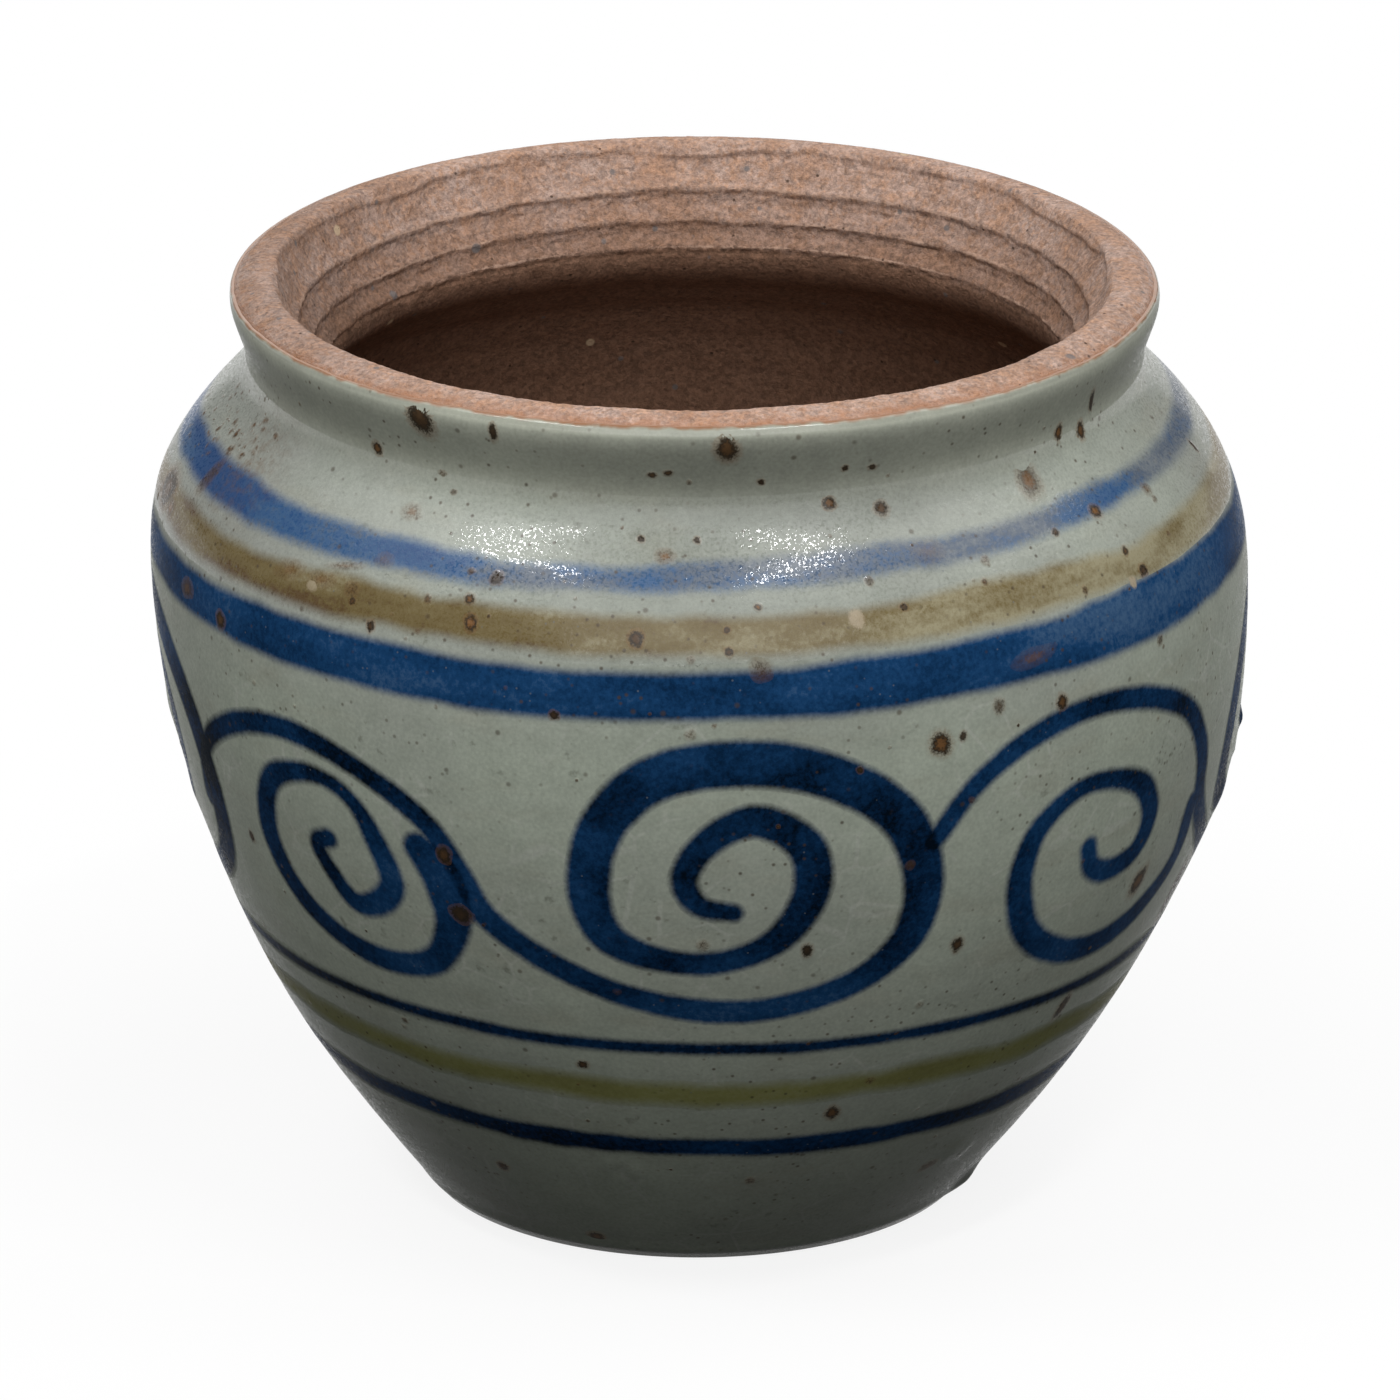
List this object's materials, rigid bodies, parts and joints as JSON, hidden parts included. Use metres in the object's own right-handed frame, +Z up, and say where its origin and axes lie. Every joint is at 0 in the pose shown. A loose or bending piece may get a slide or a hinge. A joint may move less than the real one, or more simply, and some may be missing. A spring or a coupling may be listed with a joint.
{
  "type": "pottery jar",
  "caption": "Round wheel-thrown stoneware jar with a wide sloping lip, waisted neck, full shoulder, small flat foot and brushed bands and running spirals over a pale glaze.",
  "frame": {"origin": "centre of the foot, on the surface that the jar stands on", "axes": "+Z up along the jar's turning axis, -Y towards the viewer of the picture, +X to the viewer's right"},
  "size_m": [0.1512, 0.1512, 0.13],
  "materials": {
    "stoneware": "bare fired clay, matt and gritty",
    "glaze": "glossy pale grey-green glaze with iron specks",
    "pale_blue_brushwork": "glossy, mottled pale blue",
    "cobalt_brushwork": "glossy dark cobalt blue",
    "olive_brushwork": "glossy olive ochre"
  },
  "bodies": {
    "root": {"stoneware_body": "stoneware", "glaze_coat": "glaze", "shoulder_blue_band": "pale_blue_brushwork", "shoulder_olive_band": "olive_brushwork", "shoulder_cobalt_band": "cobalt_brushwork", "belly_blue_line": "cobalt_brushwork", "belly_olive_wash": "olive_brushwork", "foot_blue_band": "cobalt_brushwork", "wave_stroke_1": "cobalt_brushwork", "wave_stroke_2": "cobalt_brushwork", "wave_stroke_3": "cobalt_brushwork", "wave_stroke_4": "cobalt_brushwork", "curl_stroke_1": "cobalt_brushwork", "curl_stroke_2": "cobalt_brushwork", "curl_stroke_3": "cobalt_brushwork", "curl_stroke_4": "cobalt_brushwork"}
  },
  "joints": []
}
